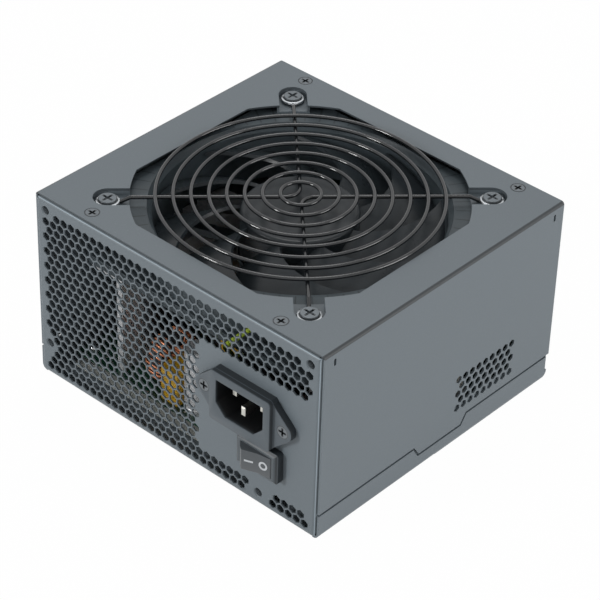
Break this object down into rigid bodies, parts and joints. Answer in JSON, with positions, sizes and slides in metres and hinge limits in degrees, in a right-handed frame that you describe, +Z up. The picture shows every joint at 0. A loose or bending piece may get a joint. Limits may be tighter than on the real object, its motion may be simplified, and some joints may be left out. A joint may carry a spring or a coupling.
{
  "type": "power supply unit",
  "caption": "Sheet-metal desktop computer power supply with a top intake fan under a wire grille, honeycomb vents, a mains inlet with a rocker switch, and detachable-lead output sockets.",
  "frame": {"origin": "centre of the case's footprint, on the surface it stands on", "axes": "+Z up through the fan; +X right when facing the inlet face; the inlet and switch face -Y, the output sockets +Y"},
  "size_m": [0.15, 0.1505, 0.088],
  "materials": {
    "case_paint": "satin",
    "bright_steel": "satin",
    "screw_steel": "satin",
    "grille_wire": "gloss",
    "fan_plastic": "matte",
    "black_plastic": "matte",
    "rocker_plastic": "satin",
    "white_mark": "matte",
    "bronze": "satin",
    "blade_brass": "polished",
    "ferrite": "matte",
    "copper_wire": "gloss",
    "yellow_tape": "satin",
    "board_green": "satin",
    "aluminium": "satin",
    "can_sleeve": "satin",
    "film": "matte",
    "blue_ceramic": "gloss",
    "white_plastic": "matte",
    "glass_tube": "polished",
    "brown_insulation": "matte",
    "earth_insulation": "matte",
    "lead_insulation": "matte"
  },
  "bodies": {
    "case": {"base_tray": "case_paint", "board_screws": "bright_steel", "board_standoffs": "bright_steel", "boost_choke_core": "ferrite", "boost_choke_winding": "copper_wire", "bridge_rectifier": "black_plastic", "bulk_capacitor": "can_sleeve", "controller_board": "board_green", "cover_screws": "case_paint", "earth_wire": "earth_insulation", "fan_bearing": "bronze", "fan_board": "board_green", "fan_frame": "fan_plastic", "fan_header": "white_plastic", "fan_lead": "lead_insulation", "fan_screws": "screw_steel", "fan_stator": "bright_steel", "fan_windings": "copper_wire", "filter_choke_core": "ferrite", "filter_choke_winding": "copper_wire", "fuse": "glass_tube", "grille_rings": "grille_wire", "grille_spokes": "grille_wire", "inlet_blades": "blade_brass", "inlet_body": "black_plastic", "inlet_face": "case_paint", "inlet_nuts": "bright_steel", "inlet_screws": "screw_steel", "input_capacitor": "aluminium", "insulating_sheet": "film", "main_board": "board_green", "mains_leads": "brown_insulation", "output_capacitors": "can_sleeve", "output_choke_core": "ferrite", "output_choke_winding": "copper_wire", "output_leads": "lead_insulation", "output_sockets": "black_plastic", "primary_heatsink": "aluminium", "primary_transistors": "black_plastic", "secondary_heatsink": "aluminium", "secondary_rectifiers": "black_plastic", "socket_board": "board_green", "socket_pins": "blade_brass", "standby_transformer": "yellow_tape", "switch_housing": "black_plastic", "switch_terminals": "blade_brass", "top_cover": "case_paint", "transformer_core": "ferrite", "transformer_winding": "yellow_tape", "x_capacitor": "yellow_tape", "y_capacitors": "blue_ceramic"},
    "rotor": {"fan_rotor": "fan_plastic", "magnet_ring": "ferrite", "fan_shaft": "bright_steel"},
    "rocker": {"switch_rocker": "rocker_plastic", "switch_marks": "white_mark"}
  },
  "joints": [
    {"name": "fan_spin", "type": "hinge", "parent": "case", "child": "rotor", "pos_m": [0, 0, 0.07], "axis": [0, 0, 1], "continuous": true},
    {"name": "switch_rock", "type": "hinge", "parent": "case", "child": "rocker", "pos_m": [0.0471, -0.06971, 0.0258], "axis": [0, 0, -1], "range_deg": [0, 32]}
  ]
}
